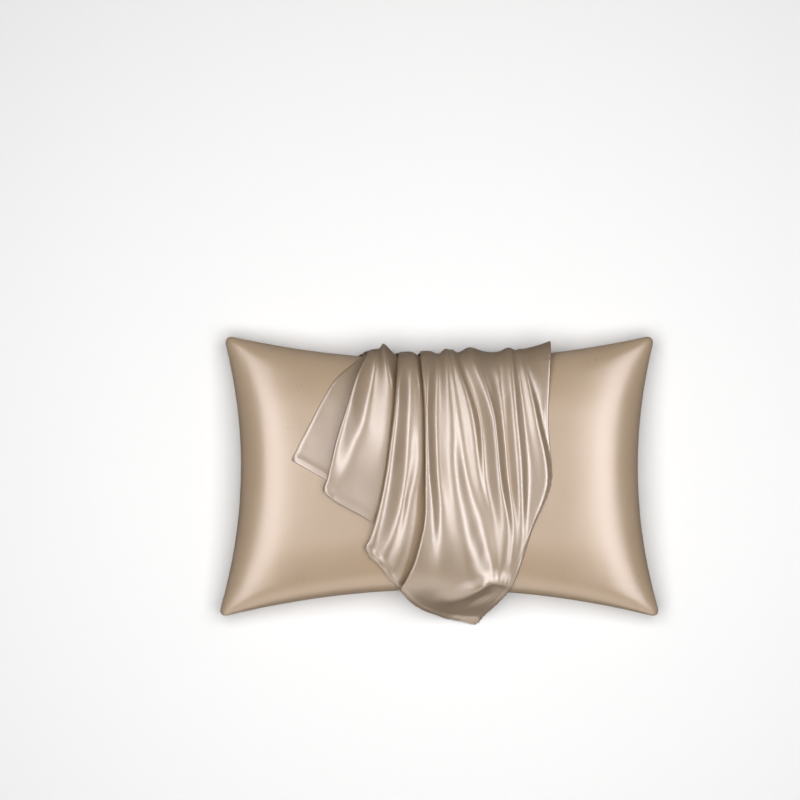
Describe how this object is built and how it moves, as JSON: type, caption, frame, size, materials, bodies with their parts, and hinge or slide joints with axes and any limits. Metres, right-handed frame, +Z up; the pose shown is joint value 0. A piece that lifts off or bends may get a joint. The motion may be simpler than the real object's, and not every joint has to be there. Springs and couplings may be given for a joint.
{
  "type": "pillowcase draped over pillow",
  "caption": "Empty satin pillowcase draped in folds over a filled pillow in a matching case, lying on its back.",
  "frame": {"origin": "under the middle of the whole part, on the surface that the pillow lies on", "axes": "+X along the pillow's long side to the right, +Y towards the edge that the cloth hangs from, +Z up"},
  "size_m": [0.7542, 0.4971, 0.1843],
  "materials": {
    "pillow_satin": "champagne satin with a soft sheen",
    "case_satin": "champagne satin with a soft sheen, a little lighter over its folds"
  },
  "bodies": {
    "root": {"pillow": "pillow_satin", "draped_case": "case_satin"}
  },
  "joints": []
}
